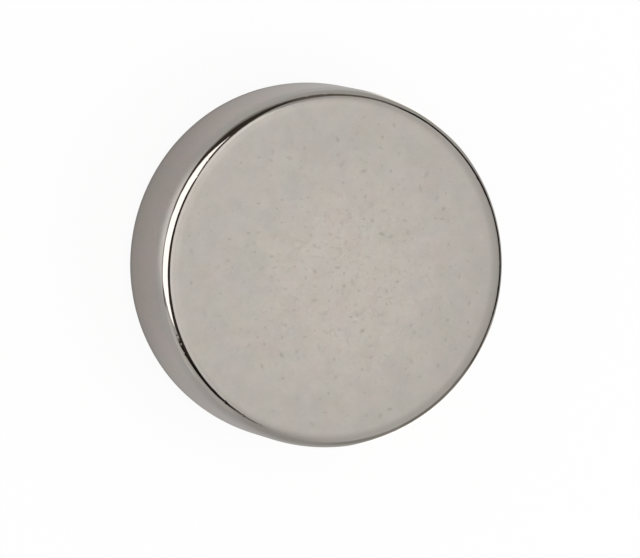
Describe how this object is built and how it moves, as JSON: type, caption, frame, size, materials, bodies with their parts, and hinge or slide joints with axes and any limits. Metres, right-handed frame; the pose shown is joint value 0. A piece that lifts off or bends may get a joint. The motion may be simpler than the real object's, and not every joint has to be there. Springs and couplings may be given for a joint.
{
  "type": "disc magnet",
  "caption": "Round flat disc of nickel-plated sintered magnet with tumbled edges, for holding, latching or sensing from a pocket or on steel.",
  "frame": {"origin": "centre of the lower flat face, on the disc's axis", "axes": "+Z along the disc's axis, from the lower flat face to the upper one; X and Y lie in the lower face"},
  "size_m": [0.015, 0.015, 0.005],
  "materials": {
    "nickel_plate": "bright nickel plate over sintered alloy: satin faces with fine pits and faint mottling, smoother wall, glossy rounded edges"
  },
  "bodies": {
    "root": {"magnet": "nickel_plate"}
  },
  "joints": []
}
